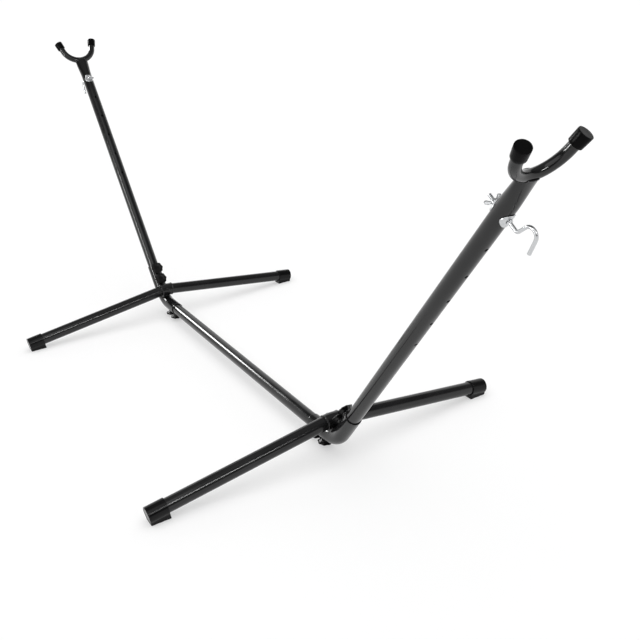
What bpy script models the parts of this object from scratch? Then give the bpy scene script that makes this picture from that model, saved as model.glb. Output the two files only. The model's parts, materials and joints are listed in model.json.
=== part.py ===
"""A free-standing hammock stand in steel tube, modelled as its separate pieces.

A straight spine tube joins two bent elbow sockets. Each socket holds an upright that leans outward and
ends in a U-shaped yoke, and each carries a base tube across the stand in a saddle welded in its corner.
X runs along the spine, Y across the stand and Z up. The origin is on the floor under the middle of the spine.
The two ends, a at +X and b at -X, are the same assembly turned half round about Z.
"""

import math

import bmesh
import bpy
from mathutils import Matrix, Vector

# Clearance left between pieces that touch, and how finely round shapes are divided.
GAP = 0.0003
HOLE_CUT = 0.014
SHARP_ANGLE = 35.0
TUBE_SIDES = 20
ROD_SIDES = 12
CAP_SIDES = 16
BEND_STEP = 15.0
GENTLE_STEP = 2.8

# Layout of the stand: lengths in metres, angles in degrees.
CORNER_X = 0.657
SPINE_Z = 0.052
LEAN = 53.6
YOKE_REACH = 1.144

# Main tubes: spine, uprights and base tubes.
TUBE_R = 0.021
TUBE_WALL = 0.0015

# Elbow sockets, with each leg measured from the corner where the two tube axes meet.
SOCKET_WALL = 0.0027
ELBOW_BEND_R = 0.100
SOCKET_UP = 0.153
SOCKET_ALONG = 0.131
TUBE_STOP = 0.005

# Upright: the row of hook holes and the flattened top that takes the yoke.
HOOK_BELOW_YOKE = 0.104
HOLE_PITCH = 0.0914
HOLE_COUNT = 6
FLAT_LENGTH = 0.084
FLAT_RINGS = 5
FLAT_MARGIN = 0.001

# Yoke and the cap on each of its arms.
YOKE_R = 0.012
YOKE_WALL = 0.0015
YOKE_BEND_R = 0.066
YOKE_FLARE = 15.0
YOKE_ARM = 0.042
YOKE_CAP_WALL = 0.0042
YOKE_CAP_LENGTH = 0.028
YOKE_CAP_TAPER = 0.0008
CAP_EDGE = 0.0015

# Base tube and its foot caps.
BASE_HALF = 0.5815
BASE_BEND_R = 0.180
FOOT_WALL = 0.003
FOOT_LENGTH = 0.057
FOOT_PAD_HALF = 0.019
FOOT_PAD_SETBACK = 0.003
FOOT_LIFT = 0.0017

# Saddle welded in the elbow's corner, and the screw that holds the base tube in it.
SADDLE_CLEARANCE = 0.0008
SADDLE_WALL = 0.0022
SADDLE_HALF = 0.024
SADDLE_LIP = 0.0012
SADDLE_LIP_WIDTH = 0.003
SADDLE_EDGE = 0.0005
PAD_HALF_X = 0.015
PAD_HALF_Y = 0.013
PAD_SINK = 0.0144
SCREW_R = 0.003
SCREW_HEAD_R = 0.0065
SCREW_HEAD_HEIGHT = 0.0035
SCREW_HEAD_RIM = 0.0014
SCREW_HEAD_TOP_R = 0.0039
SCREW_INSIDE = 0.005
SCREW_RISE = 20.0

# Knob screws that clamp the tubes in their sockets.
KNOB_FROM_RIM_UP = 0.022
KNOB_FROM_RIM_ALONG = 0.018
KNOB_PITCH = 0.048
KNOB_R = 0.020
KNOB_LOBE = 0.0022
KNOB_LOBES = 8
KNOB_SIDES_PER_LOBE = 5
KNOB_HEIGHT = 0.0125
KNOB_BORE_DEPTH = 0.008
# Each level of the knob's side, as a share of its radius and a share of its height.
KNOB_LEVELS = [(0.72, 0.0), (1.0, 0.35), (1.0, 0.8), (0.84, 1.0)]
BOSS_R = 0.007
BOSS_HEIGHT = 0.005
BOSS_SINK = 0.003
STUD_R = 0.004
STUD_INSIDE = 0.006

# Hook, its curved washers and its wing nut.
HOOK_R = 0.004
HOOK_REACH = 0.0441
HOOK_RISE = 0.0203
HOOK_RISE_LEAN = 17.0
HOOK_BEND_R = 0.008
HOOK_ARCH_R = 0.0165
HOOK_SPLAY = 11.6
HOOK_DROP = 0.032
HOOK_THREAD = 0.046
HOOK_COLLAR_R = 0.007
HOOK_COLLAR_WIDTH = 0.0025
WASHER_R = 0.017
WASHER_THICK = 0.002
WING_BODY_R = 0.007
WING_BODY_HEIGHT = 0.008
WING_SPAN = 0.0185
WING_HEIGHT = 0.0165
WING_THICK = 0.0026
WING_TURN = 62.0
# Corners of one wing, as shares of its span and its height.
WING_OUTLINE = [(0.27, 0.12), (0.8, 0.42), (1.0, 0.6), (0.97, 1.0), (0.7, 0.97), (0.27, 0.44)]

# Sizes that follow from the ones above.
SOCKET_INNER_R = TUBE_R + GAP
SOCKET_R = SOCKET_INNER_R + SOCKET_WALL
BEND_TANGENT = ELBOW_BEND_R * math.tan(math.radians(LEAN / 2))
TUBE_START = BEND_TANGENT + TUBE_STOP
SADDLE_INNER_R = TUBE_R + SADDLE_CLEARANCE
SADDLE_OUTER_R = SADDLE_INNER_R + SADDLE_WALL
FLAT_HALF = YOKE_R + TUBE_WALL + GAP + FLAT_MARGIN
HOOK_S = YOKE_REACH - HOOK_BELOW_YOKE
WASHER_LOW = TUBE_R + 2 * GAP
WASHER_HIGH = WASHER_LOW + WASHER_THICK
FOOT_R = TUBE_R + GAP + FOOT_WALL
BASE_END_Z = FOOT_R + FOOT_LIFT

# The vertical planes along and across the stand, each as its level axis and its upward axis.
ALONG_PLANE = (Vector((1, 0, 0)), Vector((0, 0, 1)))
ACROSS_PLANE = (Vector((0, 1, 0)), Vector((0, 0, 1)))


# ---------------------------------------------------------------- outlines and rings


def walk(start, heading, moves, step=BEND_STEP):
    """Follow straights and arcs in a plane, and return (point, heading) pairs with headings in radians.

    Each move is (length, 0) for a straight, or (radius, turn) for an arc turning left by that many degrees.
    """
    point = Vector(start)
    angle = math.radians(heading)
    stations = [(point.copy(), angle)]
    for size, turn in moves:
        if turn == 0:
            point = point + size * Vector((math.cos(angle), math.sin(angle)))
            stations.append((point.copy(), angle))
            continue
        steps = math.ceil(abs(turn) / step)
        side = math.copysign(1.0, turn)
        centre = point + side * size * Vector((-math.sin(angle), math.cos(angle)))
        for _ in range(steps):
            angle += math.radians(turn) / steps
            point = centre + side * size * Vector((math.sin(angle), -math.cos(angle)))
            stations.append((point.copy(), angle))
    return stations


def path_rings(stations, plane, radius, sides):
    """Place a circle square to the path at each station; plane holds the path's two axes in space."""
    across, up = plane
    out = across.cross(up)
    rings = []
    for point, angle in stations:
        centre = point.x * across + point.y * up
        normal = -math.sin(angle) * across + math.cos(angle) * up
        turns = [2 * math.pi * i / sides for i in range(sides)]
        rings.append([centre + radius * (math.cos(t) * normal + math.sin(t) * out) for t in turns])
    return rings


def turned_rings(profile, sides):
    """Turn a list of (radius, height) points about Z."""
    turns = [2 * math.pi * i / sides for i in range(sides)]
    return [[Vector((r * math.cos(t), r * math.sin(t), z)) for t in turns] for r, z in profile]


def bore(radius, sides):
    """Radius of a polygon that leaves the clearance all round a rod of the given radius."""
    return (radius + GAP) / math.cos(math.pi / sides)


# ---------------------------------------------------------------- meshes and objects


def skin(rings, ring_closed):
    """Join successive rings with quads. The last ring meets the first, or both ends are filled."""
    bm = bmesh.new()
    rows = [[bm.verts.new(point) for point in ring] for ring in rings]
    pairs = list(zip(rows, rows[1:]))
    if ring_closed:
        pairs.append((rows[-1], rows[0]))
    for low, high in pairs:
        for i in range(len(low)):
            j = (i + 1) % len(low)
            bm.faces.new((low[i], low[j], high[j], high[i]))
    if not ring_closed:
        bm.faces.new(rows[0])
        bm.faces.new(rows[-1])
    bmesh.ops.recalc_face_normals(bm, faces=bm.faces)
    mesh = bpy.data.meshes.new("shape")
    bm.to_mesh(mesh)
    bm.free()
    return mesh


def hollow(stations, plane, outer, inner, sides):
    """An open-ended tube along a path."""
    outside = path_rings(stations, plane, outer, sides)
    inside = path_rings(stations, plane, inner, sides)
    return skin(outside + inside[::-1], True)


def rod(radius, low, high, sides):
    """A solid round bar along Z."""
    return skin(turned_rings([(radius, low), (radius, high)], sides), False)


def block(low, high):
    """A rectangular block between two corners."""
    (x0, y0, z0), (x1, y1, z1) = low, high
    corners = [(x0, y0), (x1, y0), (x1, y1), (x0, y1)]
    return skin([[Vector((x, y, z)) for x, y in corners] for z in (z0, z1)], False)


def add(name, mesh, material, parent, place):
    """Make a named object from a mesh, under a parent empty, at a place given as a matrix."""
    item = bpy.data.objects.new(name, mesh)
    bpy.context.scene.collection.objects.link(item)
    item.parent = parent
    item.matrix_local = place
    if not mesh.materials:
        mesh.materials.append(material)
    mesh.shade_smooth()
    mesh.set_sharp_from_angle(angle=math.radians(SHARP_ANGLE))
    return item


def combine(mesh, operation, others):
    """Join to, or cut from, a mesh each of the other meshes, and return the result as a new mesh."""
    body = bpy.data.objects.new("body", mesh)
    tools = [bpy.data.objects.new("tool", other) for other in others]
    for item in [body] + tools:
        bpy.context.scene.collection.objects.link(item)
    for tool in tools:
        step = body.modifiers.new("step", "BOOLEAN")
        step.operation = operation
        step.solver = "EXACT"
        step.object = tool
    bpy.context.view_layer.update()
    found = body.evaluated_get(bpy.context.evaluated_depsgraph_get())
    result = bpy.data.meshes.new_from_object(found)
    for item in [body] + tools:
        bpy.data.objects.remove(item)
    return result


def moved(mesh, matrix):
    mesh.transform(matrix)
    return mesh


def turn_y(degrees):
    return Matrix.Rotation(math.radians(degrees), 4, "Y")


def shift(x, y, z):
    return Matrix.Translation((x, y, z))


# ---------------------------------------------------------------- materials


def make_material(name, colour, roughness, metallic):
    material = bpy.data.materials.new(name)
    material.use_nodes = True
    shader = material.node_tree.nodes["Principled BSDF"]
    shader.inputs["Base Color"].default_value = (*colour, 1.0)
    shader.inputs["Roughness"].default_value = roughness
    shader.inputs["Metallic"].default_value = metallic
    return material


# ---------------------------------------------------------------- meshes of the pieces


def knob_places():
    """Distances from the corner to the knob screws, on the upright's leg and on the spine's leg."""
    up = [SOCKET_UP - KNOB_FROM_RIM_UP - KNOB_PITCH * i for i in range(2)]
    along = [SOCKET_ALONG - KNOB_FROM_RIM_ALONG - KNOB_PITCH * i for i in range(2)]
    return up, along


def stud_hole(place):
    """A cutter for the hole that a knob screw passes through, from inside the tube to outside the socket."""
    return moved(rod(bore(STUD_R, ROD_SIDES), -HOLE_CUT, HOLE_CUT, ROD_SIDES), place)


def spine_mesh():
    """The straight tube, with two screw holes in its underside at each end."""
    half = CORNER_X - TUBE_START
    stations = walk((-half, 0), 0, [(2 * half, 0)])
    tube = hollow(stations, ALONG_PLANE, TUBE_R, TUBE_R - TUBE_WALL, TUBE_SIDES)
    places = [side * (CORNER_X - along) for along in knob_places()[1] for side in (1, -1)]
    return combine(tube, "DIFFERENCE", [stud_hole(shift(x, 0, -TUBE_R)) for x in places])


def elbow_stations():
    """The elbow's centre line from the spine's rim to the upright's rim, with the corner at the origin."""
    return walk(
        (-SOCKET_ALONG, 0),
        0,
        [(SOCKET_ALONG - BEND_TANGENT, 0), (ELBOW_BEND_R, LEAN), (SOCKET_UP - BEND_TANGENT, 0)],
    )


def elbow_mesh():
    """The bent socket, bored right through, with two screw holes in each leg."""
    socket = hollow(elbow_stations(), ALONG_PLANE, SOCKET_R, SOCKET_INNER_R, TUBE_SIDES)
    up, along = knob_places()
    holes = [stud_hole(shift(-distance, 0, -SOCKET_R)) for distance in along]
    holes += [stud_hole(turn_y(90 - LEAN) @ shift(-SOCKET_R, 0, distance) @ turn_y(-90)) for distance in up]
    return combine(socket, "DIFFERENCE", holes)


def upright_rings(inset):
    """Rings of the upright's wall, round below and pressed to an oval of the same girth at the top."""
    flat_start = YOKE_REACH - FLAT_LENGTH
    levels = [(TUBE_START, 0.0)]
    levels += [(flat_start + FLAT_LENGTH * i / FLAT_RINGS, i / FLAT_RINGS) for i in range(FLAT_RINGS + 1)]
    turns = [2 * math.pi * i / TUBE_SIDES for i in range(TUBE_SIDES)]
    rings = []
    for height, share in levels:
        ease = share * share * (3 - 2 * share)
        thin = TUBE_R + (FLAT_HALF - TUBE_R) * ease
        wide = math.sqrt(2 * TUBE_R**2 - thin**2)
        rings.append(
            [Vector(((thin - inset) * math.cos(t), (wide - inset) * math.sin(t), height)) for t in turns]
        )
    return rings


def yoke_stations(arm):
    """The yoke's centre line from arm to arm, each arm of the given length, lowest at the origin."""
    sweep = 90 - YOKE_FLARE
    sine, cosine = math.sin(math.radians(sweep)), math.cos(math.radians(sweep))
    start = (-YOKE_BEND_R * sine - arm * cosine, YOKE_BEND_R * (1 - cosine) + arm * sine)
    return walk(start, -sweep, [(arm, 0), (YOKE_BEND_R, 2 * sweep), (arm, 0)])


def upright_mesh():
    """The leaning tube: hook holes right through, screw holes in its inner face, and a notched oval top."""
    tube = skin(upright_rings(0.0) + upright_rings(TUBE_WALL)[::-1], True)
    cutters = []
    for i in range(HOLE_COUNT):
        height = HOOK_S - HOLE_PITCH * i
        through = rod(bore(HOOK_R, CAP_SIDES), -2 * TUBE_R, 2 * TUBE_R, CAP_SIDES)
        cutters.append(moved(through, shift(0, 0, height) @ turn_y(90)))
    cutters += [stud_hole(shift(-TUBE_R, 0, distance) @ turn_y(-90)) for distance in knob_places()[0]]
    notch = skin(path_rings(yoke_stations(YOKE_ARM), ACROSS_PLANE, bore(YOKE_R, CAP_SIDES), CAP_SIDES), False)
    cutters.append(moved(notch, shift(0, 0, YOKE_REACH)))
    return combine(tube, "DIFFERENCE", cutters)


def yoke_mesh():
    """The U-shaped tube that lies across the upright's top."""
    stations = yoke_stations(YOKE_ARM - YOKE_CAP_WALL - GAP)
    return hollow(stations, ACROSS_PLANE, YOKE_R, YOKE_R - YOKE_WALL, CAP_SIDES)


def yoke_cap_mesh():
    """A push-on cup with a rounded end; its mouth is at the origin and its closed end at +Z."""
    inner = bore(YOKE_R, CAP_SIDES)
    outer = inner + YOKE_CAP_WALL
    floor = YOKE_CAP_LENGTH - YOKE_CAP_WALL
    profile = [
        (inner, floor),
        (inner, 0),
        (outer - YOKE_CAP_TAPER, 0),
        (outer, YOKE_CAP_LENGTH - 2 * CAP_EDGE),
        (outer - CAP_EDGE, YOKE_CAP_LENGTH),
    ]
    return skin(turned_rings(profile, CAP_SIDES), False)


def base_angle():
    """Slope of the base tube's halves from the saddle down to the feet, by repeated substitution."""
    drop = base_centre().z - BASE_END_Z
    angle = 0.0
    for _ in range(30):
        angle = math.atan((drop + BASE_BEND_R * (1 / math.cos(angle) - 1)) / BASE_HALF)
    return angle


def base_centre():
    """Where the base tube crosses the stand: on the corner's bisector, with the saddle against the elbow."""
    half = math.radians(LEAN / 2)
    reach = ELBOW_BEND_R / math.cos(half) - (ELBOW_BEND_R - SOCKET_R - GAP - SADDLE_OUTER_R)
    return Vector((CORNER_X - reach * math.sin(half), 0, SPINE_Z + reach * math.cos(half)))


def base_mesh():
    """The cross tube: two straight halves that fall away from a gentle bend over the elbow."""
    slope = base_angle()
    straight = (BASE_HALF - BASE_BEND_R * math.sin(slope)) / math.cos(slope)
    start = (-BASE_HALF, BASE_END_Z)
    moves = [(straight, 0), (BASE_BEND_R, -2 * math.degrees(slope)), (straight, 0)]
    stations = walk(start, math.degrees(slope), moves, GENTLE_STEP)
    tube = hollow(stations, ACROSS_PLANE, TUBE_R, TUBE_R - TUBE_WALL, TUBE_SIDES)
    return combine(tube, "DIFFERENCE", [moved(screw_hole(), shift(0, 0, base_centre().z))])


def foot_mesh():
    """A cup over the base tube's +Y end, with a pad under it that is flat on the floor."""
    tilt = Matrix.Rotation(-base_angle(), 4, "X")
    tip = shift(0, BASE_HALF, BASE_END_Z) @ tilt @ Matrix.Rotation(math.radians(-90), 4, "X")
    end = GAP + FOOT_WALL
    profile = [(FOOT_R, end - FOOT_LENGTH), (FOOT_R, end - CAP_EDGE), (FOOT_R - CAP_EDGE, end)]
    sleeve = moved(skin(turned_rings(profile, TUBE_SIDES), False), tip)
    inner_y = BASE_HALF + end - FOOT_LENGTH
    outer_y = BASE_HALF + end - FOOT_PAD_SETBACK
    pad = block((-FOOT_PAD_HALF, inner_y, 0), (FOOT_PAD_HALF, outer_y, BASE_END_Z))
    whole = combine(sleeve, "UNION", [pad])
    hole = rod(bore(TUBE_R, TUBE_SIDES), -2 * FOOT_LENGTH, GAP, TUBE_SIDES)
    return combine(whole, "DIFFERENCE", [moved(hole, tip)])


def screw_hole():
    """A cutter for the saddle screw, along its axis through the saddle and the base tube's wall."""
    hole = rod(bore(SCREW_R, ROD_SIDES), TUBE_R - HOLE_CUT, TUBE_R + HOLE_CUT, ROD_SIDES)
    return moved(hole, turn_y(SCREW_RISE - 90))


def bend_rings(profile):
    """Circles square to the base tube's bend, from (radius, distance from its middle) pairs."""
    rings = []
    for radius, distance in profile:
        turn = distance / BASE_BEND_R
        point = BASE_BEND_R * Vector((math.sin(turn), math.cos(turn) - 1))
        rings += path_rings([(point, -turn)], ACROSS_PLANE, radius, TUBE_SIDES)
    return rings


def saddle_mesh():
    """A sleeve bent like its tube, with rolled lips and a foot shaped to the elbow.

    Z points out of the elbow's corner.
    """
    lip = SADDLE_OUTER_R + SADDLE_LIP
    half_profile = [
        (SADDLE_OUTER_R, 0.0),
        (SADDLE_OUTER_R, SADDLE_HALF - SADDLE_LIP_WIDTH),
        (lip, SADDLE_HALF - SADDLE_LIP_WIDTH / 2),
        (SADDLE_OUTER_R - SADDLE_EDGE, SADDLE_HALF),
    ]
    profile = [(radius, -distance) for radius, distance in half_profile[:0:-1]] + half_profile
    upright_turn = turn_y(LEAN / 2)
    sleeve = moved(skin(bend_rings(profile), False), upright_turn)
    deep = SADDLE_OUTER_R + PAD_SINK
    pad = block((-PAD_HALF_X, -PAD_HALF_Y, -deep), (PAD_HALF_X, PAD_HALF_Y, -SADDLE_INNER_R / 2))
    whole = combine(sleeve, "UNION", [pad])
    rings = path_rings(elbow_stations(), ALONG_PLANE, SOCKET_R + GAP, TUBE_SIDES)
    to_saddle = saddle_place().inverted() @ shift(CORNER_X, 0, SPINE_Z)
    elbow = moved(skin(rings, False), to_saddle)
    reach = [SADDLE_HALF * i / 2 for i in range(-3, 4)]
    hole = moved(skin(bend_rings([(SADDLE_INNER_R, distance) for distance in reach]), False), upright_turn)
    screw = moved(screw_hole(), upright_turn)
    return combine(whole, "DIFFERENCE", [elbow, hole, screw])


def saddle_place():
    return Matrix.Translation(base_centre()) @ turn_y(-LEAN / 2)


def screw_mesh():
    """The button-head screw. Z points outward along it and its origin is on the base tube's axis."""
    seat = SADDLE_OUTER_R + GAP
    tip = TUBE_R - TUBE_WALL - SCREW_INSIDE
    profile = [
        (SCREW_R, tip),
        (SCREW_R, seat),
        (SCREW_HEAD_R, seat),
        (SCREW_HEAD_R, seat + SCREW_HEAD_RIM),
        (SCREW_HEAD_TOP_R, seat + SCREW_HEAD_HEIGHT),
    ]
    return skin(turned_rings(profile, ROD_SIDES), False)


def boss_mesh():
    """The threaded ring welded to the socket under a knob, hollowed below to fit its round side."""
    inner = bore(STUD_R, ROD_SIDES)
    profile = [(inner, -BOSS_SINK), (BOSS_R, -BOSS_SINK), (BOSS_R, BOSS_HEIGHT), (inner, BOSS_HEIGHT)]
    ring = skin(turned_rings(profile, ROD_SIDES), True)
    socket = rod(bore(SOCKET_R, TUBE_SIDES), -2 * BOSS_R, 2 * BOSS_R, TUBE_SIDES)
    return combine(ring, "DIFFERENCE", [moved(socket, shift(0, 0, -SOCKET_R) @ turn_y(90))])


def knob_mesh():
    """A lobed hand knob with a blind bore for its stud. Z points away from the socket."""
    low = BOSS_HEIGHT + GAP
    sides = KNOB_SIDES_PER_LOBE * KNOB_LOBES
    rings = []
    for scale, share in KNOB_LEVELS:
        ring = []
        for i in range(sides):
            turn = 2 * math.pi * i / sides
            radius = scale * (KNOB_R - KNOB_LOBE / 2 + KNOB_LOBE / 2 * math.cos(KNOB_LOBES * turn))
            ring.append(Vector((radius * math.cos(turn), radius * math.sin(turn), low + share * KNOB_HEIGHT)))
        rings.append(ring)
    hole = rod(bore(STUD_R, ROD_SIDES), low - KNOB_BORE_DEPTH, low + KNOB_BORE_DEPTH, ROD_SIDES)
    return combine(skin(rings, False), "DIFFERENCE", [hole])


def stud_mesh():
    """The knob's screw, from inside the clamped tube up into the knob."""
    tip = SOCKET_WALL + GAP + TUBE_WALL + STUD_INSIDE
    return rod(STUD_R, -tip, BOSS_HEIGHT + KNOB_BORE_DEPTH, ROD_SIDES)


def washer_mesh():
    """A round washer bent to the upright's side. Z points out of the upright, whose axis runs along X."""
    inner = bore(HOOK_R, CAP_SIDES)
    reaches = [inner + (WASHER_R - inner) * i / 3 for i in range(4)]
    turns = [2 * math.pi * i / CAP_SIDES for i in range(CAP_SIDES)]
    rings = []
    for level, order in ((WASHER_LOW, reaches), (WASHER_HIGH, reaches[::-1])):
        for reach in order:
            ring = [(reach * math.cos(t), reach * math.sin(t)) for t in turns]
            rings.append([Vector((x, y, math.sqrt(level**2 - y**2))) for x, y in ring])
    return skin(rings, True)


def hook_mesh():
    """The bent rod. Z points out of the upright and -X up along it; the arch opens downward."""
    moves = [
        (HOOK_THREAD + HOOK_REACH, 0),
        (HOOK_BEND_R, 90 - HOOK_RISE_LEAN),
        (HOOK_RISE, 0),
        (HOOK_ARCH_R, HOOK_RISE_LEAN + HOOK_SPLAY - 180),
        (HOOK_DROP, 0),
    ]
    plane = (Vector((0, 0, 1)), Vector((-1, 0, 0)))
    bar = skin(path_rings(walk((-HOOK_THREAD, 0), 0, moves), plane, HOOK_R, ROD_SIDES), False)
    seat = WASHER_HIGH + GAP
    collar = rod(HOOK_COLLAR_R, seat, seat + HOOK_COLLAR_WIDTH, ROD_SIDES)
    return combine(bar, "UNION", [collar])


def wing_nut_mesh():
    """A wing nut on the hook's thread. Z points away from the upright; the wings spread along X."""
    seat = WASHER_HIGH + GAP
    body = rod(WING_BODY_R, seat, seat + WING_BODY_HEIGHT, CAP_SIDES)
    wings = []
    for side in (1, -1):
        outline = [(side * WING_SPAN * x, seat + WING_HEIGHT * z) for x, z in WING_OUTLINE]
        half = WING_THICK / 2
        wings.append(skin([[Vector((x, y, z)) for x, z in outline] for y in (-half, half)], False))
    whole = combine(body, "UNION", wings)
    hole = rod(bore(HOOK_R, CAP_SIDES), 0, 2 * seat + WING_HEIGHT, CAP_SIDES)
    return combine(whole, "DIFFERENCE", [hole])


# ---------------------------------------------------------------- assembly


def empty(name, parent, place):
    frame = bpy.data.objects.new(name, None)
    bpy.context.scene.collection.objects.link(frame)
    frame.parent = parent
    frame.matrix_local = place
    return frame


def add_knob_screw(name, parent, place, meshes, looks):
    """One knob screw: the boss is fixed, and the knob and stud turn about the empty's Z axis."""
    axis = empty(name + "_axis", parent, place)
    add(name + "_boss", meshes["boss"], looks["steel"], axis, Matrix())
    add(name + "_knob", meshes["knob"], looks["plastic"], axis, Matrix())
    add(name + "_stud", meshes["stud"], looks["zinc"], axis, Matrix())


def add_elbow(end, corner, lean, meshes, looks):
    """The elbow socket with two knob screws on the upright's inner side and two under the spine."""
    add("elbow_" + end, meshes["elbow"], looks["steel"], corner, Matrix())
    up, along = knob_places()
    for i, distance in enumerate(up, 1):
        place = shift(-SOCKET_R, 0, distance) @ turn_y(-90)
        add_knob_screw(f"upright_screw_{end}{i}", lean, place, meshes, looks)
    for i, distance in enumerate(along, 1):
        place = shift(-distance, 0, -SOCKET_R) @ turn_y(180)
        add_knob_screw(f"spine_screw_{end}{i}", corner, place, meshes, looks)


def add_upright(end, lean, meshes, looks):
    """The upright with its yoke, and a cap pushed onto each of the yoke's arms."""
    add("upright_" + end, meshes["upright"], looks["steel"], lean, Matrix())
    add("yoke_" + end, meshes["yoke"], looks["steel"], lean, shift(0, 0, YOKE_REACH))
    tips = yoke_stations(YOKE_ARM)
    for label, (tip, heading), reverse in (("l", tips[0], math.pi), ("r", tips[-1], 0)):
        aim = Matrix.Rotation(heading + reverse - math.pi / 2, 4, "X")
        place = shift(0, tip.x, YOKE_REACH + tip.y) @ aim @ shift(0, 0, -YOKE_CAP_LENGTH)
        add(f"yoke_cap_{end}_{label}", meshes["yoke_cap"], looks["plastic"], lean, place)


def add_hook(end, lean, meshes, looks):
    """The hook through the top hole, with a curved washer on each side and a wing nut inside."""
    hook_axis = empty("hook_axis_" + end, lean, shift(0, 0, HOOK_S) @ turn_y(90))
    nut_axis = empty("nut_axis_" + end, lean, shift(0, 0, HOOK_S) @ turn_y(-90))
    add("hook_" + end, meshes["hook"], looks["zinc"], hook_axis, Matrix())
    add(f"washer_{end}_outer", meshes["washer"], looks["zinc"], hook_axis, Matrix())
    add(f"washer_{end}_inner", meshes["washer"], looks["zinc"], nut_axis, Matrix())
    turned = Matrix.Rotation(math.radians(WING_TURN), 4, "Z")
    add("wing_nut_" + end, meshes["wing_nut"], looks["zinc"], nut_axis, turned)


def add_base(end, side, meshes, looks):
    """The base tube in its saddle, with the saddle's screw and a foot cap at each end."""
    add("saddle_" + end, meshes["saddle"], looks["steel"], side, saddle_place())
    aim = Matrix.Translation(base_centre()) @ turn_y(SCREW_RISE - 90)
    add("saddle_screw_" + end, meshes["screw"], looks["steel"], side, aim)
    middle = shift(base_centre().x, 0, 0)
    add("base_tube_" + end, meshes["base"], looks["steel"], side, middle)
    for label, half_turn in (("l", math.pi), ("r", 0)):
        place = middle @ Matrix.Rotation(half_turn, 4, "Z")
        add(f"foot_cap_{end}_{label}", meshes["foot"], looks["plastic"], side, place)


def build():
    for item in list(bpy.data.objects):
        bpy.data.objects.remove(item)
    looks = {
        "steel": make_material("black_powder_coat", (0.012, 0.012, 0.013), 0.28, 0.0),
        "plastic": make_material("black_plastic", (0.014, 0.014, 0.015), 0.5, 0.0),
        "zinc": make_material("zinc_plate", (0.72, 0.73, 0.74), 0.28, 1.0),
    }
    meshes = {
        "elbow": elbow_mesh(),
        "upright": upright_mesh(),
        "yoke": yoke_mesh(),
        "yoke_cap": yoke_cap_mesh(),
        "base": base_mesh(),
        "foot": foot_mesh(),
        "saddle": saddle_mesh(),
        "screw": screw_mesh(),
        "boss": boss_mesh(),
        "knob": knob_mesh(),
        "stud": stud_mesh(),
        "washer": washer_mesh(),
        "hook": hook_mesh(),
        "wing_nut": wing_nut_mesh(),
    }
    add("spine", spine_mesh(), looks["steel"], None, shift(0, 0, SPINE_Z))
    for end, turn in (("a", 0), ("b", math.pi)):
        side = empty("end_" + end, None, Matrix.Rotation(turn, 4, "Z"))
        corner = empty("corner_" + end, side, shift(CORNER_X, 0, SPINE_Z))
        lean = empty("lean_" + end, corner, turn_y(90 - LEAN))
        add_elbow(end, corner, lean, meshes, looks)
        add_upright(end, lean, meshes, looks)
        add_hook(end, lean, meshes, looks)
        add_base(end, side, meshes, looks)


build()
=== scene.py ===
"""A steel tube hammock stand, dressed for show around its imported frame.

X runs along the spine, Y across the stand and Z up, in metres. The two ends, a at +X and b at -X, are the
same assembly turned half round about Z, so each shape is worked out for end a and turned for end b.
"""

import json
import math

import bmesh
import bpy
import numpy as np
from mathutils import Matrix, Vector


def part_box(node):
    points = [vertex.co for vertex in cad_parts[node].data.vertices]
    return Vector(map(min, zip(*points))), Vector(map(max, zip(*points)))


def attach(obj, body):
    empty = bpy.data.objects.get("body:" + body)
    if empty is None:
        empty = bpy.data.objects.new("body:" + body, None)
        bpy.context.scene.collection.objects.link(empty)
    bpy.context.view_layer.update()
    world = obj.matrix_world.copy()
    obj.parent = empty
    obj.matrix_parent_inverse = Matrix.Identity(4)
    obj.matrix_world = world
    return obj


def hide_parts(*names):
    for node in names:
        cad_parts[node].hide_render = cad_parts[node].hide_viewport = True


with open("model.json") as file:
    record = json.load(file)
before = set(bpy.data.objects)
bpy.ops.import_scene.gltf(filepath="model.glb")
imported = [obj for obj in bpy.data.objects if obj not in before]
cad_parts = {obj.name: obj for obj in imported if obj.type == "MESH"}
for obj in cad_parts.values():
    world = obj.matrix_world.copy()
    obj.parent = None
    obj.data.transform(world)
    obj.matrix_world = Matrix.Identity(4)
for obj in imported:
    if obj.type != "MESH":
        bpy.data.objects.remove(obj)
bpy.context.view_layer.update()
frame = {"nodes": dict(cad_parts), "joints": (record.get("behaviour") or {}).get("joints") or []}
joints = {joint["name"]: joint for joint in frame["joints"]}
ENDS = (("a", np.array((1.0, 1.0, 1.0))), ("b", np.array((-1.0, -1.0, 1.0))))


# ---------------------------------------------------------------- the spine
# One straight steel tube, 42 mm across with a 1.5 mm wall, that lies low along the middle of the stand. It is
# cut square, pierced underneath near each end for the knob screws, and powder coated gloss black.

TUBE_R = 0.021
TUBE_WALL = 0.0015
ROUND = 96
PATCH = 12
ROW_STEP = 0.03
EDGE = 0.0005
STUD_HOLE_R = 0.00445
ARC_STEPS = 5
MERGE_WITHIN = 3e-6


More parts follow.
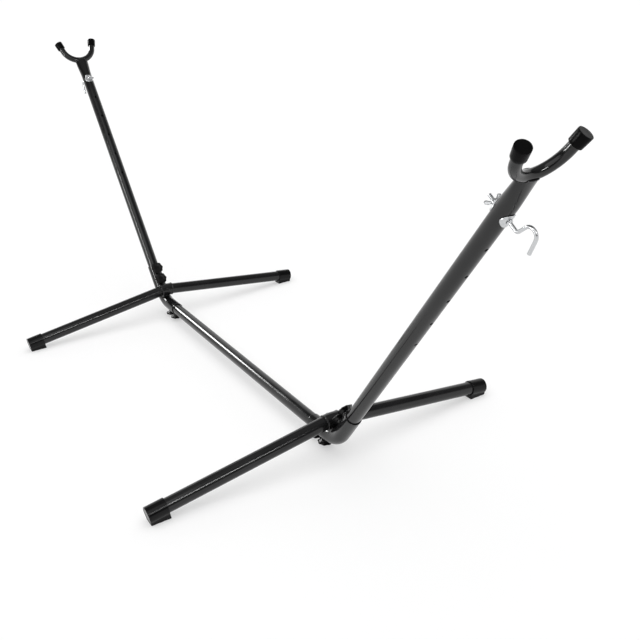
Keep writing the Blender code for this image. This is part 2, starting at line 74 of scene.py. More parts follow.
def centre_line(start, heading, moves):
    """A centre line in a plane, made of straights and arcs one after another.

    Each move is (length, 0) for a straight or (radius, degrees turned left) for an arc. Returns the whole
    length, and a function that gives the two coordinates and the heading at each distance along the line.
    """
    legs = []
    point, angle, reached = np.array(start, float), math.radians(heading), 0.0
    for size, turn in moves:
        bend = math.radians(turn)
        length = abs(bend) * size if turn else size
        curvature = math.copysign(1 / size, bend) if turn else 0.0
        legs.append((reached, point, angle, curvature))
        if turn:
            swing = angle + bend
            step = np.array((math.sin(swing) - math.sin(angle), math.cos(angle) - math.cos(swing)))
            point, angle = point + step / curvature, swing
        else:
            point = point + length * np.array((math.cos(angle), math.sin(angle)))
        reached += length

    def at(distance):
        distance = np.asarray(distance, float)
        across, up, turned = (np.zeros_like(distance) for _ in range(3))
        for begun, origin, first, curvature in legs:
            here = distance >= begun if begun else np.ones(distance.shape, bool)
            gone = distance - begun
            swing = first + curvature * gone
            if curvature:
                x = origin[0] + (np.sin(swing) - math.sin(first)) / curvature
                y = origin[1] + (math.cos(first) - np.cos(swing)) / curvature
            else:
                x = origin[0] + gone * math.cos(first)
                y = origin[1] + gone * math.sin(first)
            across, up = np.where(here, x, across), np.where(here, y, up)
            turned = np.where(here, swing, turned)
        return across, up, turned

    return reached, at


def round_pipe(line, origin, level, radius):
    """The skin of a round tube whose centre line lies in the plane of a level axis and Z.

    A point is the centre line's point, plus the radius less the depth times (cosine of the angle round the
    tube along the line's own left side, plus sine of the angle along the plane's normal).
    """
    level = np.array(level, float)
    upward = np.array((0.0, 0.0, 1.0))
    side = np.cross(level, upward)

    def point(angle, distance, depth):
        angle, distance, depth = np.broadcast_arrays(angle, distance, depth)
        x, z, heading = (value[..., None] for value in line(distance))
        left = np.cos(heading) * upward - np.sin(heading) * level
        reach = (radius - depth)[..., None]
        ring = np.cos(angle)[..., None] * left + np.sin(angle)[..., None] * side
        return np.array(origin) + x * level + z * upward + reach * ring

    return point


def pierced_tube(point, radius, wall, length, holes, step=ROW_STEP):
    """Grids for a tube wall with round holes: both faces, both rounded rims and the walls of the holes.

    The tube is a lattice of angle by distance. Round each hole a square of that lattice is left out and
    filled by rings that blend from the square to the circle, roll over its edge and go through the wall.
    Holes are given as (distance, angle, radius).
    """
    cell = 2 * math.pi / ROUND
    half = PATCH / 2 * cell * radius
    bands = {}
    for distance, angle, hole in holes:
        bands.setdefault(distance, []).append((round(angle / cell) % ROUND, hole))
    grids = []
    reached = EDGE
    for distance in sorted(bands) + [length - EDGE + half]:
        plain_end = distance - half
        plain = np.linspace(reached, plain_end, max(2, math.ceil((plain_end - reached) / step) + 1))
        around = cell * np.arange(ROUND + 1)
        grids += [point(around, plain[:, None], depth) for depth in (0.0, wall)]
        reached = distance + half
        if distance not in bands:
            continue
        rows = np.linspace(distance - half, distance + half, PATCH + 1)
        columns = sorted(bands[distance])
        for (column, hole), (following, _) in zip(columns, columns[1:] + [(columns[0][0] + ROUND, 0)]):
            between = cell * np.arange(column + PATCH // 2, following - PATCH // 2 + 1)
            grids += [point(between, rows[:, None], depth) for depth in (0.0, wall)]
            grids.append(hole_grid(point, radius, wall, distance, cell * column, hole, half))
    swing = np.linspace(0, math.pi / 2, ARC_STEPS)
    fall = EDGE * (1 - np.cos(swing))
    out = EDGE * np.sin(swing)
    depth = np.concatenate((fall, wall - fall[::-1]))[:, None]
    stretch = np.concatenate((out, out[::-1]))[:, None]
    around = cell * np.arange(ROUND + 1)
    grids.append(point(around, length - EDGE + stretch, depth))
    grids.append(point(around, EDGE - stretch, depth))
    return grids


def hole_grid(point, radius, wall, distance, angle, hole, half):
    """The square patch round one hole: rings that go from the square to the circle and through the wall."""
    side = np.linspace(-1, 1, PATCH + 1)[:-1]
    one = np.ones(PATCH)
    u = np.concatenate((one, -side, -one, side, [1.0]))
    v = np.concatenate((side, one, -side, -one, [-1.0]))
    bearing = np.arctan2(v, u)
    share = np.linspace(0, 1, ARC_STEPS)[:, None]
    swing = np.linspace(0, math.pi / 2, ARC_STEPS)[:, None]
    flat_u = (1 - share) * half * u + share * (hole + EDGE) * np.cos(bearing)
    flat_v = (1 - share) * half * v + share * (hole + EDGE) * np.sin(bearing)
    rolled = hole + EDGE * (1 - np.sin(swing))
    rolled_u, rolled_v = rolled * np.cos(bearing), rolled * np.sin(bearing)
    all_u = np.concatenate((flat_u, rolled_u, rolled_u[::-1], flat_u[::-1]))
    all_v = np.concatenate((flat_v, rolled_v, rolled_v[::-1], flat_v[::-1]))
    fall = EDGE * (1 - np.cos(swing))
    depth = np.concatenate((0 * share, fall, wall - fall[::-1], wall + 0 * share))
    return point(angle + all_u / radius, distance + all_v, depth)


def skin(name, grids, material):
    """One object from grids of points. Every cell of a grid is a quad, and points that meet are merged."""
    points, quads, first = [], [], 0
    for grid in grids:
        rows, columns = grid.shape[:2]
        index = first + np.arange(rows * columns).reshape(rows, columns)
        corners = (index[:-1, :-1], index[:-1, 1:], index[1:, 1:], index[1:, :-1])
        quads.append(np.stack(corners, -1).reshape(-1, 4))
        points.append(grid.reshape(-1, 3))
        first += rows * columns
    mesh = bpy.data.meshes.new(name)
    mesh.from_pydata(np.concatenate(points), [], np.concatenate(quads))
    shell = bmesh.new()
    shell.from_mesh(mesh)
    bmesh.ops.remove_doubles(shell, verts=shell.verts, dist=MERGE_WITHIN)
    bmesh.ops.recalc_face_normals(shell, faces=shell.faces)
    shell.to_mesh(mesh)
    shell.free()
    mesh.shade_smooth()
    mesh.materials.append(material)
    piece = bpy.data.objects.new(name, mesh)
    bpy.context.scene.collection.objects.link(piece)
    return piece


def stands_for(piece, node, body):
    """Ride the piece on its body in the place of the plain node."""
    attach(piece, body)
    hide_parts(node)


def at_both_ends(name, grids, material, node_name, body="stand", sharp=None):
    """A piece for each end in the place of its node. Edges sharper than the given angle stay crisp."""
    for end, sense in ENDS:
        piece = skin(name.format(end), [grid * sense for grid in grids], material)
        if sharp:
            piece.data.set_sharp_from_angle(angle=math.radians(sharp))
        stands_for(piece, node_name.format(end), body.format(end))


def new_group(name, inputs, outputs):
    """An empty shader node group. Inputs and outputs are (name, kind), and a default value for an input."""
    group = bpy.data.node_groups.new(name, "ShaderNodeTree")
    for label, kind, value in inputs:
        socket = group.interface.new_socket(name=label, in_out="INPUT", socket_type=kind)
        if value is not None:
            socket.default_value = value
    for label, kind in outputs:
        group.interface.new_socket(name=label, in_out="OUTPUT", socket_type=kind)
    return group, group.nodes.new("NodeGroupInput"), group.nodes.new("NodeGroupOutput")


def node(tree, kind, **values):
    """Add a node, setting its properties and, by their own names, its unlinked input sockets."""
    made = tree.nodes.new(kind)
    for key, value in values.items():
        if hasattr(made, key):
            setattr(made, key, value)
        else:
            made.inputs[key.replace("_", " ")].default_value = value
    return made


def map_range(tree, value, low, high, new_low, new_high):
    """Stretch a value linearly from one range to another, clamped at both ends."""
    made = node(tree, "ShaderNodeMapRange", From_Min=low, From_Max=high, To_Min=new_low, To_Max=new_high)
    tree.links.new(value, made.inputs["Value"])
    return made.outputs["Result"]


def arithmetic(tree, operation, *values):
    """Add a Math node fed by the given sockets and plain numbers, and return its result."""
    made = node(tree, "ShaderNodeMath", operation=operation)
    for socket, value in zip(made.inputs, values):
        if isinstance(value, float):
            socket.default_value = value
        else:
            tree.links.new(value, socket)
    return made.outputs["Value"]


def blank_material(name):
    """A new material with its node tree and its shader."""
    material = bpy.data.materials.new(name)
    material.use_nodes = True
    return material, material.node_tree, material.node_tree.nodes["Principled BSDF"]


def emboss(tree, shader, height, distance):
    """Bump the shader's normal by a height that is worth the given distance at full strength."""
    bump = node(tree, "ShaderNodeBump", Strength=1.0, Distance=distance)
    tree.links.new(height, bump.inputs["Height"])
    tree.links.new(bump.outputs["Normal"], shader.inputs["Normal"])


DUST_DULLS = 0.12
PATCH_LIGHTENS = 0.5


def make_fine_surface_group():
    """Shared by every coated and moulded finish: a fine pebbled height, and a haze that dulls the gloss in
    soft patches where the part has been handled, with a few settled specks of dust."""
    group, given, result = new_group(
        "fine surface",
        (
            ("Pebble Scale", "NodeSocketFloat", 900.0),
            ("Gloss", "NodeSocketFloat", 0.2),
            ("Haze", "NodeSocketFloat", 0.1),
            ("Dark", "NodeSocketColor", (0.01, 0.01, 0.01, 1.0)),
            ("Light", "NodeSocketColor", (0.02, 0.02, 0.02, 1.0)),
        ),
        (("Color", "NodeSocketColor"), ("Roughness", "NodeSocketFloat"), ("Height", "NodeSocketFloat")),
    )
    links = group.links
    place = group.nodes.new("ShaderNodeTexCoord").outputs["Object"]
    pebble = node(group, "ShaderNodeTexNoise", Detail=2.0, Roughness=0.5)
    cloud = node(group, "ShaderNodeTexNoise", Scale=9.0, Detail=4.0, Roughness=0.6)
    speck = node(group, "ShaderNodeTexNoise", Scale=420.0, Detail=3.0, Roughness=0.7)
    for texture in (pebble, cloud, speck):
        links.new(place, texture.inputs["Vector"])
    links.new(given.outputs["Pebble Scale"], pebble.inputs["Scale"])
    links.new(pebble.outputs["Fac"], result.inputs["Height"])
    patches = map_range(group, cloud.outputs["Fac"], 0.42, 0.68, 0.0, 1.0)
    dust = map_range(group, speck.outputs["Fac"], 0.68, 0.78, 0.0, 1.0)
    dulled = arithmetic(group, "MULTIPLY_ADD", patches, given.outputs["Haze"], given.outputs["Gloss"])
    links.new(arithmetic(group, "MULTIPLY_ADD", dust, DUST_DULLS, dulled), result.inputs["Roughness"])
    tone = node(group, "ShaderNodeMix", data_type="RGBA")
    links.new(arithmetic(group, "MULTIPLY_ADD", patches, PATCH_LIGHTENS, dust), tone.inputs["Factor"])
    links.new(given.outputs["Dark"], tone.inputs["A"])
    links.new(given.outputs["Light"], tone.inputs["B"])
    links.new(tone.outputs["Result"], result.inputs["Color"])
    return group


fine_surface = make_fine_surface_group()


def surfaced_material(name, dark, light, gloss, haze, pebble_scale, pebble_height, **own):
    """A coated or moulded finish: the fine surface group's colour, gloss and pebbled bump."""
    material, tree, shader = blank_material(name)
    surface = node(tree, "ShaderNodeGroup", node_tree=fine_surface)
    given = {"Gloss": gloss, "Haze": haze, "Pebble Scale": pebble_scale}
    for label, value in (given | {"Dark": (*dark, 1.0), "Light": (*light, 1.0)}).items():
        surface.inputs[label].default_value = value
    tree.links.new(surface.outputs["Color"], shader.inputs["Base Color"])
    tree.links.new(surface.outputs["Roughness"], shader.inputs["Roughness"])
    emboss(tree, shader, surface.outputs["Height"], pebble_height)
    for label, value in own.items():
        shader.inputs[label.replace("_", " ")].default_value = value
    return material


gloss_coat = surfaced_material(
    "gloss_black_powder_coat",
    dark=(0.0065, 0.0065, 0.0068),
    light=(0.013, 0.013, 0.0135),
    gloss=0.13,
    haze=0.07,
    pebble_scale=620.0,
    pebble_height=0.00004,
    IOR=1.45,
)

screw_1, screw_2 = (joints[f"upright_screw_a{i}_turn"] for i in (1, 2))
SOCKET_R = 0.024
inward = np.array(screw_1["axis"], float)
up = np.array(screw_1["pos_m"], float) - np.array(screw_2["pos_m"], float)
up /= np.linalg.norm(up)
spine_z = joints["spine_screw_a1_turn"]["pos_m"][2] + SOCKET_R
on_upright = np.array(screw_1["pos_m"], float) - SOCKET_R * inward
corner = on_upright + up * (spine_z - on_upright[2]) / up[2]
lean = math.degrees(math.atan2(up[2], up[0]))

spine_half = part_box("spine")[1].x
length, line = centre_line((-spine_half, 0), 0, [(2 * spine_half, 0)])
spine_skin = round_pipe(line, (0, 0, spine_z), (1, 0, 0), TUBE_R)
spine_screws = [joints[f"spine_screw_{end}{i}_turn"]["pos_m"][0] for end in "ab" for i in (1, 2)]
spine_holes = [(x + spine_half, math.pi, STUD_HOLE_R) for x in spine_screws]
spine = skin("spine_tube", pierced_tube(spine_skin, TUBE_R, TUBE_WALL, length, spine_holes), gloss_coat)
stands_for(spine, "spine", "stand")


# ---------------------------------------------------------------- the elbow sockets
# A short length of 48 mm tube, bent to the upright's lean, that sleeves over the spine on one leg and over
# the upright on the other. The cut rims are rolled smooth, and each leg has two holes for the knob screws.

SOCKET_WALL = 0.0027
BEND_R = 0.100
LEG_UP = 0.153
LEG_ALONG = 0.131

bend_tangent = BEND_R * math.tan(math.radians(lean / 2))
elbow_length, elbow_line = centre_line(
    (-LEG_ALONG, 0), 0, [(LEG_ALONG - bend_tangent, 0), (BEND_R, lean), (LEG_UP - bend_tangent, 0)]
)
elbow_skin = round_pipe(elbow_line, corner, (1, 0, 0), SOCKET_R)
elbow_holes = []
for i in (1, 2):
    below = corner[0] - joints[f"spine_screw_a{i}_turn"]["pos_m"][0]
    above = np.dot(np.array(joints[f"upright_screw_a{i}_turn"]["pos_m"]) - corner, up)
    elbow_holes.append((LEG_ALONG - below, math.pi, STUD_HOLE_R))
    elbow_holes.append((elbow_length - LEG_UP + above, 0.0, STUD_HOLE_R))
elbow_grids = pierced_tube(elbow_skin, SOCKET_R, SOCKET_WALL, elbow_length, elbow_holes, step=0.004)
at_both_ends("elbow_socket_{}", elbow_grids, gloss_coat, "elbow_{}")


# ---------------------------------------------------------------- the uprights
# The same 42 mm tube, leaning outward, drilled right through six times for the hook. Its top is pressed to an
# oval of the same girth and notched, so that two cheeks stand beside the yoke where it is welded in.

TUBE_INSET = 0.005
TUBE_START = bend_tangent + TUBE_INSET
YOKE_REACH = 1.144
FLAT_LENGTH = 0.084
FLAT_HALF = 0.0148
NOTCH_R = 0.0123
YOKE_BEND_R = 0.066
CHEEK_FROM = 1.085
HOOK_HOLE_R = 0.0044
HOLE_PITCH = 0.0914
HOLE_COUNT = 6


def upright_skin(angle, distance, depth):
    """The upright's wall: round, then an ellipse whose half width is the root of twice the round radius
    squared less the thin half squared. Near the top, distances are stretched to end at the notch."""
    angle, distance, depth = np.broadcast_arrays(angle, distance + TUBE_START, depth)
    ease = np.clip((distance - YOKE_REACH + FLAT_LENGTH) / FLAT_LENGTH, 0, 1)
    ease = ease * ease * (3 - 2 * ease)
    thin = TUBE_R + (FLAT_HALF - TUBE_R) * ease
    wide = np.sqrt(2 * TUBE_R**2 - thin**2)
    x = (thin - depth) * np.cos(angle)
    y = (wide - depth) * np.sin(angle)
    fall = YOKE_BEND_R + np.sqrt(np.maximum(NOTCH_R**2 - x**2, 0))
    notch = np.minimum(YOKE_BEND_R - np.sqrt(fall**2 - y**2), 0)
    notch = np.where(np.abs(x) < NOTCH_R, notch, 0.0)
    share = np.clip((distance - CHEEK_FROM) / (YOKE_REACH - CHEEK_FROM), 0, 1)
    along = distance + share * notch
    side = np.array((0.0, -1.0, 0.0))
    return corner + along[..., None] * up + x[..., None] * inward + y[..., None] * side


hook_joint = joints["hook_swivel_a"]
hook_height = float(np.dot(np.array(hook_joint["pos_m"]) - corner, up))
upright_holes = []
for i in range(HOLE_COUNT):
    for angle in (0.0, math.pi):
        upright_holes.append((hook_height - HOLE_PITCH * i - TUBE_START, angle, HOOK_HOLE_R))
for i in (1, 2):
    above = np.dot(np.array(joints[f"upright_screw_a{i}_turn"]["pos_m"]) - corner, up)
    upright_holes.append((above - TUBE_START, 0.0, STUD_HOLE_R))
upright_grids = pierced_tube(
    upright_skin, TUBE_R, TUBE_WALL, YOKE_REACH - TUBE_START, upright_holes, step=0.006
)
at_both_ends("upright_tube_{}", upright_grids, gloss_coat, "upright_{}")


# ---------------------------------------------------------------- the yokes
# A 24 mm tube bent into a shallow U that carries the hammock's end rope. It is laid in the upright's notch
# and welded all round, and the weld's ripples show through the coat.

YOKE_R = 0.012
YOKE_WALL = 0.0015
YOKE_FLARE = 15.0
YOKE_ARM = 0.042
CAP_WALL = 0.0042
GAP = 0.0003
BEAD_R = 0.0017
BEAD_DEPTH = 0.4
BEAD_RIPPLES = 44
BEAD_RIPPLE = 0.10
BEAD_POINTS = 528
BEAD_ROUND = 16

arm = YOKE_ARM - CAP_WALL - GAP
sweep = 90 - YOKE_FLARE


def yoke_line_from(arm_length):
    """The yoke's centre line, with its lowest point at the origin: arm, bend and arm."""
    sine, cosine = math.sin(math.radians(sweep)), math.cos(math.radians(sweep))
    start = (
        -YOKE_BEND_R * sine - arm_length * cosine,
        YOKE_BEND_R * (1 - cosine) + arm_length * sine,
    )
    return centre_line(start, -sweep, [(arm_length, 0), (YOKE_BEND_R, 2 * sweep), (arm_length, 0)])


yoke_length, yoke_line = yoke_line_from(arm)


def leaned(grid):
    """Points given about the corner's own axes, X outward, Y across and Z up the upright, put in place."""
    outward = -inward
    return corner + grid[..., :1] * outward + grid[..., 1:2] * np.array((0.0, 1.0, 0.0)) + grid[..., 2:] * up


upright_yoke = round_pipe(yoke_line, (0, 0, YOKE_REACH), (0, 1, 0), YOKE_R)
yoke_grids = pierced_tube(upright_yoke, YOKE_R, YOKE_WALL, yoke_length, [], step=0.002)
yoke_grids = [leaned(grid) for grid in yoke_grids]

turn = np.linspace(0, 2 * math.pi, BEAD_POINTS + 1)
bead_centre = upright_skin(turn, YOKE_REACH - TUBE_START, TUBE_WALL * BEAD_DEPTH)
bead_run = np.gradient(bead_centre, axis=0)
bead_run[0] = bead_run[-1] = bead_centre[1] - bead_centre[-2]
bead_run /= np.linalg.norm(bead_run, axis=1)[:, None]
bead_side = up - np.sum(bead_run * up, axis=1)[:, None] * bead_run
bead_side /= np.linalg.norm(bead_side, axis=1)[:, None]
bead_out = np.cross(bead_run, bead_side)
across = np.linspace(0, 2 * math.pi, BEAD_ROUND + 1)[:, None, None]
ripple = 1 + BEAD_RIPPLE * np.abs(np.sin(turn * BEAD_RIPPLES / 2))[:, None]
bead_grid = bead_centre + BEAD_R * ripple * (np.cos(across) * bead_side + np.sin(across) * bead_out)

for end, sense in ENDS:
    piece = skin("yoke_tube_" + end, [grid * sense for grid in yoke_grids], gloss_coat)
    stands_for(piece, "yoke_" + end, "stand")
    bead = skin("yoke_weld_" + end, [bead_grid * sense], gloss_coat)
    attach(bead, "stand")


# ---------------------------------------------------------------- the yoke caps
# A moulded black cap pushed over each arm of the yoke. It widens a little towards its closed end, whose flat
# face is turned over in a tight round that catches the light.

CAP_LENGTH = 0.028
CAP_TAPER = 0.0008
CAP_ROLL = 0.0011
CAP_LEAD_IN = 0.0004
CAP_LIP = 0.0006
CAP_SUNK = 0.0002
CAP_ROUND = 72

soft_cap = surfaced_material(
    "moulded_black_cap",
    dark=(0.003, 0.003, 0.0032),
    light=(0.006, 0.006, 0.006),
    gloss=0.2,
    haze=0.08,
    pebble_scale=1500.0,
    pebble_height=0.00004,
    IOR=1.12,
)


def turned(profile, sides=CAP_ROUND):
    """A profile of (radius, height) points turned about Z: x and y are the radius by cosine and sine."""
    angle = np.linspace(0, 2 * math.pi, sides + 1)
    profile = np.array(profile, float)
    radius, height = profile[:, :1], profile[:, 1:]
    return np.stack((radius * np.cos(angle), radius * np.sin(angle), height + 0 * angle), -1)


def rolled_edge(radius, height, roll, first, last, steps=6):
    """Points of a round edge: an arc of the given roll, its centre set back from the corner both ways."""
    swing = np.radians(np.linspace(first, last, steps))
    return [(radius - roll + roll * math.cos(a), height - roll + roll * math.sin(a)) for a in swing]


def placed(grid, matrix):
    """Turn and move a grid of points by a 4 by 4 matrix."""
    turn_part = np.array(matrix)[:3, :3]
    return grid @ turn_part.T + np.array(matrix)[:3, 3]


cap_inner = YOKE_R + GAP
cap_outer = cap_inner + CAP_WALL
mouth = cap_outer - CAP_TAPER
cap_profile = [(0, CAP_LENGTH - CAP_WALL), (cap_inner, CAP_LENGTH - CAP_WALL), (cap_inner, CAP_LEAD_IN)]
cap_profile += [(cap_inner + CAP_LEAD_IN, 0), (mouth - CAP_LIP, 0)]
cap_profile += [(mouth - CAP_LIP / 3, CAP_LIP / 3), (mouth, CAP_LIP)]
cap_profile += [(mouth + CAP_TAPER * t, CAP_LENGTH * 0.75 * t) for t in (0.35, 0.7, 1.0)]
cap_profile += rolled_edge(cap_outer, CAP_LENGTH, CAP_ROLL, 0, 90, 8)
cap_profile += [(cap_outer * share, CAP_LENGTH - CAP_SUNK * (0.85 - share)) for share in (0.85, 0.5, 0.2)]
cap_profile += [(0, CAP_LENGTH - CAP_SUNK)]
cap_grid = turned(cap_profile)
tip_length, tip_line = yoke_line_from(YOKE_ARM)
for label, distance, reverse in (("l", 0.0, math.pi), ("r", tip_length, 0.0)):
    y, z, heading = (float(value) for value in tip_line(distance))
    aim = Matrix.Translation((0, y, YOKE_REACH + z))
    aim = aim @ Matrix.Rotation(heading + reverse - math.pi / 2, 4, "X")
    aim = aim @ Matrix.Translation((0, 0, -CAP_LENGTH))
    grid = leaned(placed(cap_grid, aim))
    at_both_ends("yoke_end_cap_{}_" + label, [grid], soft_cap, "yoke_cap_{}_" + label)


# ---------------------------------------------------------------- the base tubes
# A 42 mm tube across each end of the stand. It is bent at its middle, where it passes through the saddle, so
# that it falls away on both sides and only its two ends reach the floor.

BASE_HALF = 0.5815
BASE_BEND_R = 0.180
FOOT_R = 0.0243
FOOT_LIFT = 0.0017
SADDLE_OUTER_R = 0.0240

base_end_z = FOOT_R + FOOT_LIFT
half_lean = math.radians(lean / 2)
bend_to_base = BEND_R - SOCKET_R - GAP - SADDLE_OUTER_R
reach = BEND_R / math.cos(half_lean) - bend_to_base
base_middle = corner + reach * np.array((-math.sin(half_lean), 0.0, math.cos(half_lean)))
# The slope and the bend's rise depend on each other, so they are worked out by repeating until they settle.
SETTLING_ROUNDS = 30
slope = 0.0
for _ in range(SETTLING_ROUNDS):
    drop = base_middle[2] - base_end_z
    slope = math.atan((drop + BASE_BEND_R * (1 / math.cos(slope) - 1)) / BASE_HALF)
straight = (BASE_HALF - BASE_BEND_R * math.sin(slope)) / math.cos(slope)
base_length, base_line = centre_line(
    (-BASE_HALF, base_end_z),
    math.degrees(slope),
    [(straight, 0), (BASE_BEND_R, -2 * math.degrees(slope)), (straight, 0)],
)
base_skin = round_pipe(base_line, (base_middle[0], 0, 0), (0, 1, 0), TUBE_R)
base_grids = pierced_tube(base_skin, TUBE_R, TUBE_WALL, base_length, [], step=0.012)
at_both_ends("cross_tube_{}", base_grids, gloss_coat, "base_tube_{}")


# ---------------------------------------------------------------- the foot caps
# A glossy moulded cap over each end of a base tube. It is round above, and below it runs down into a narrower
# block that is flat on the floor. The fine seam from the mould along each side is left out.

FOOT_LENGTH = 0.057
FOOT_WALL = 0.003
FOOT_PAD_HALF = 0.019
FOOT_ROLL = 0.0016
FOOT_BLEND = 10.0
FOOT_LEAD_IN = 0.0006
FOOT_SUNK = 0.0006
FOOT_SUNK_FROM = 0.89
FOOT_ROUND = 144

foot_plastic = surfaced_material(
    "moulded_black_foot",
    dark=(0.003, 0.003, 0.0032),
    light=(0.006, 0.006, 0.006),
    gloss=0.18,
    haze=0.07,
    pebble_scale=1100.0,
    pebble_height=0.00004,
    IOR=1.28,
)

angle = np.linspace(0, 2 * math.pi, FOOT_ROUND + 1)


def foot_outline(floor_drop):
    """Reach of the foot's outline at each angle round the tube's axis, 0 being straight up.

    It is the larger of the sleeve's circle and of a box from the axis down to the floor, the two joined
    softly by adding their high powers and taking the root, and cut off exactly at the floor.
    """
    down, beside = -np.cos(angle), np.abs(np.sin(angle))
    to_floor = floor_drop / np.maximum(down, 1e-6)
    to_side = FOOT_PAD_HALF / np.maximum(beside, 1e-6)
    box = np.where(down > 0, np.minimum(to_floor, to_side), 0.0)
    soft = (FOOT_R**FOOT_BLEND + np.minimum(box, 2 * FOOT_R) ** FOOT_BLEND) ** (1 / FOOT_BLEND)
    joined_at = FOOT_R * 2 ** (1 / FOOT_BLEND)
    soft = FOOT_R + (soft - joined_at) * (soft > joined_at)
    return np.minimum(soft, np.where(down > 0, to_floor, 1.0))


def foot_grid():
    """Rows from the bore's floor out through the mouth, along the outside and over the closed end."""
    rows = []
    axis_z = math.cos(slope)
    end = GAP + FOOT_WALL
    bore = TUBE_R + GAP

    def centre(along):
        y = BASE_HALF + along * math.cos(slope)
        z = base_end_z - along * math.sin(slope)
        return y, z

    def ring(along, share, inset, circle):
        """One row at a distance past the tube's end: the outline less an inset, or for share 0 a circle."""
        y, z = centre(along)
        outline = foot_outline(z / axis_z) - inset
        reach_out = share * outline + (1 - share) * circle
        left = reach_out * np.cos(angle)
        return np.stack(
            (
                base_middle[0] + reach_out * np.sin(angle),
                y + left * math.sin(slope),
                z + left * axis_z,
            ),
            -1,
        )

    mouth_at = end - FOOT_LENGTH
    rows.append(ring(GAP, 0, 0, 0.0))
    rows.append(ring(GAP, 0, 0, bore))
    rows.append(ring(mouth_at + FOOT_LEAD_IN, 0, 0, bore))
    rows.append(ring(mouth_at, 0, 0, bore + FOOT_LEAD_IN))
    lip = FOOT_ROLL / 2
    for swing in np.linspace(math.pi / 2, 0, 5):
        rows.append(ring(mouth_at + lip * (1 - math.sin(swing)), 1, lip * (1 - math.cos(swing)), 0))
    for along in np.linspace(mouth_at + 0.002, end - FOOT_ROLL - 0.001, 10):
        rows.append(ring(along, 1, 0, 0))
    for swing in np.linspace(0, math.pi / 2, 8):
        along = end - FOOT_ROLL + FOOT_ROLL * math.sin(swing)
        rows.append(ring(along, 1, FOOT_ROLL * (1 - math.cos(swing)), 0))
    y, z = centre(end)
    rim = foot_outline(z / axis_z) - FOOT_ROLL
    for share in (0.9, 0.86, 0.6, 0.3, 0.0):
        sunk = FOOT_SUNK if share < FOOT_SUNK_FROM else 0.0
        rows.append(ring(end - sunk, 0, 0, rim * share))
    return np.stack(rows)


foot_points = foot_grid()
for end, sense in ENDS:
    for label, half_turn in (("l", -1.0), ("r", 1.0)):
        grid = foot_points.copy()
        grid[..., 0] = base_middle[0] + half_turn * (grid[..., 0] - base_middle[0])
        grid[..., 1] *= half_turn
        piece = skin(f"moulded_foot_{end}_{label}", [grid * sense], foot_plastic)
        stands_for(piece, f"foot_cap_{end}_{label}", "stand")


# ---------------------------------------------------------------- the saddles
# A short sleeve with rolled lips, bent like the base tube that passes through it, and welded across the
# inside of the elbow's bend. A bead of weld fills the gap on both sides of where the two tubes touch.

SADDLE_WALL = 0.0022
SADDLE_HALF = 0.024
LIP = 0.0012
LIP_ROOT = 0.0006
LIP_WIDTH = 0.0042
BORE_LEAD_IN = 0.0005
WEB_HALF_X = 0.015
WEB_HALF_Y = 0.013
WEB_CORNER_POWER = 0.35
WEB_FLARE = 0.16
WEB_RIPPLE = 0.01
WEB_RIPPLES = 30
WEB_INTO_SLEEVE = 0.0008
WEB_INTO_ELBOW = 0.0006

saddle_inner = SADDLE_OUTER_R - SADDLE_WALL
lip_swing = np.radians(np.linspace(-70, 90, 12))
lip_centre = SADDLE_HALF - LIP_WIDTH / 2
half_profile = [(SADDLE_OUTER_R, 0.0), (SADDLE_OUTER_R, lip_centre - LIP_WIDTH * 0.75)]
half_profile += [
    (SADDLE_OUTER_R - LIP_ROOT + (LIP + LIP_ROOT) * math.cos(a), lip_centre + LIP_WIDTH / 2 * math.sin(a))
    for a in lip_swing
]
half_profile += [(saddle_inner + BORE_LEAD_IN, SADDLE_HALF), (saddle_inner, SADDLE_HALF - BORE_LEAD_IN)]
half_profile += [(saddle_inner, 0)]
sleeve_profile = half_profile + [(radius, -height) for radius, height in half_profile[::-1]]
sleeve_radius, sleeve_along = np.array(sleeve_profile).T[..., None]
turn = np.linspace(0, 2 * math.pi, ROUND + 1)
sleeve_grid = base_skin(turn, base_length / 2 + sleeve_along, TUBE_R - sleeve_radius)
saddle_spot = Matrix.Translation(base_middle) @ Matrix.Rotation(-half_lean, 4, "Y")

# The weld's outline is a rounded oblong: the cosine and sine of the angle, each raised to a low power.
web_x = WEB_HALF_X * np.sign(np.cos(turn)) * np.abs(np.cos(turn)) ** WEB_CORNER_POWER
web_y = WEB_HALF_Y * np.sign(np.sin(turn)) * np.abs(np.sin(turn)) ** WEB_CORNER_POWER
web_rows = []
for share in np.linspace(0, 1, 15):
    flare = 1 + WEB_FLARE * (2 * share - 1) ** 4 + WEB_RIPPLE * np.sin(turn * WEB_RIPPLES)
    x, y = web_x * flare, web_y * flare
    to_sleeve = -np.sqrt(SADDLE_OUTER_R**2 - x**2) + WEB_INTO_SLEEVE
    to_elbow = bend_to_base - np.sqrt((BEND_R - np.sqrt(SOCKET_R**2 - y**2)) ** 2 - x**2) - WEB_INTO_ELBOW
    web_rows.append(np.stack((x, y, to_sleeve + share * (to_elbow - to_sleeve)), -1))
web_middle = [np.broadcast_to(row.mean(0), row.shape) for row in (web_rows[0], web_rows[-1])]
web_grid = placed(np.stack([web_middle[0]] + web_rows + [web_middle[1]]), saddle_spot)
for end, sense in ENDS:
    piece = skin("saddle_sleeve_" + end, [sleeve_grid * sense], gloss_coat)
    stands_for(piece, "saddle_" + end, "stand")
    weld = skin("saddle_weld_" + end, [web_grid * sense], gloss_coat)
    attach(weld, "stand")


# ---------------------------------------------------------------- the saddle screws
# A black button head screw with a hexagon socket, from the inner side of each saddle into the base tube.

SCREW_R = 0.003
SCREW_HEAD_R = 0.0065
SCREW_HEAD_HEIGHT = 0.0035
SCREW_RISE = 20.0
SCREW_INSIDE = 0.005
SCREW_RIM = 0.0008
HEX_HALF = 0.002
HEX_DEPTH = 0.002
HEX_EDGE = 0.0002

